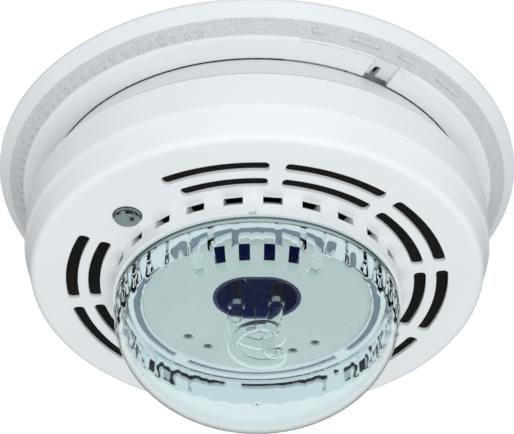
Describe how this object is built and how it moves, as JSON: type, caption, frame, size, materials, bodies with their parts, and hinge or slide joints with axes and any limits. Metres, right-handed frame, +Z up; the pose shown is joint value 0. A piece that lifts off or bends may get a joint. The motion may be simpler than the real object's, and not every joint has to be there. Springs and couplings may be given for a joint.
{
  "type": "heat detector",
  "caption": "Round ceiling heat detector with a twist-lock plate, slotted drum, clear ribbed beacon lens, flash tube, sounder and test button.",
  "frame": {"origin": "centre of the mounting plate's back face, in the ceiling plane, midway between the box screw holes", "axes": "+Z up into the ceiling, the detector hangs towards -Z; +X through the single-gang screw holes; the test button is on the -Y side, towards -X"},
  "size_m": [0.172, 0.172, 0.088],
  "materials": {
    "white_plate": "satin",
    "white_shell": "satin",
    "black_mesh": "matt",
    "foam": "matt",
    "steel": "plated",
    "spring_steel": "drawn wire",
    "green_board": "solder resist",
    "socket_plastic": "satin",
    "brass": "tinned",
    "black_epoxy": "matt",
    "red_epoxy": "dipped",
    "blue_epoxy": "dipped",
    "bead_glass": "dipped bead",
    "grey_plastic": "satin",
    "horn_plastic": "matt",
    "piezo_brass": "rolled sheet",
    "red_wire": "insulated wire",
    "led_epoxy": "clear epoxy",
    "clear_button": "clear moulded plastic",
    "capacitor_sleeve": "shrunk sleeve",
    "ferrite": "sintered",
    "winding_tape": "polyester tape",
    "coil_lacquer": "lacquered copper",
    "navy_plastic": "gloss",
    "reflector_white": "satin",
    "tube_glass": "clear",
    "tungsten": "sintered",
    "trigger_metal": "drawn wire",
    "gasket_rubber": "silicone",
    "seal_rubber": "silicone",
    "catch_plastic": "matt",
    "lens_clear": "clear moulded polycarbonate"
  },
  "bodies": {
    "ceiling_plate": {"mounting_plate": "white_plate", "dust_seal": "foam", "release_catch": "catch_plastic"},
    "detector": {"back_cover": "white_shell", "front_cover": "white_shell", "insect_screen": "black_mesh", "case_screws": "steel", "main_board": "green_board", "board_screws": "steel", "supply_socket": "socket_plastic", "supply_pins": "brass", "controller_chip": "black_epoxy", "surface_parts": "black_epoxy", "dropper_capacitor": "red_epoxy", "surge_varistor": "blue_epoxy", "board_link": "black_epoxy", "exposed_thermistor": "bead_glass", "reference_thermistor": "bead_glass", "reference_cap": "grey_plastic", "horn_housing": "horn_plastic", "piezo_disc": "piezo_brass", "piezo_leads": "red_wire", "tact_switch": "black_epoxy", "status_led": "led_epoxy", "button_spring": "spring_steel", "strobe_board": "green_board", "strobe_screws": "steel", "flash_capacitor": "capacitor_sleeve", "inverter_core": "ferrite", "inverter_winding": "winding_tape", "trigger_coil": "coil_lacquer", "lamp_well": "navy_plastic", "reflector": "reflector_white", "retaining_ring": "white_shell", "reflector_seal": "seal_rubber", "flash_tube": "tube_glass", "electrodes": "tungsten", "trigger_wire": "trigger_metal", "lens_gasket": "gasket_rubber", "lens": "lens_clear"},
    "test_button": {"test_button": "clear_button"}
  },
  "joints": [
    {"name": "twist_lock", "type": "hinge", "parent": "ceiling_plate", "child": "detector", "pos_m": [0, 0, 0], "axis": [0, 0, -1], "range_deg": [0, 20]},
    {"name": "button_press", "type": "slide", "parent": "detector", "child": "test_button", "axis": [0, 0, 1], "range_m": [0, 0.0012], "stiffness_N_per_m": 600, "springref_m": -0.0012, "deforming": ["button_spring"]}
  ]
}
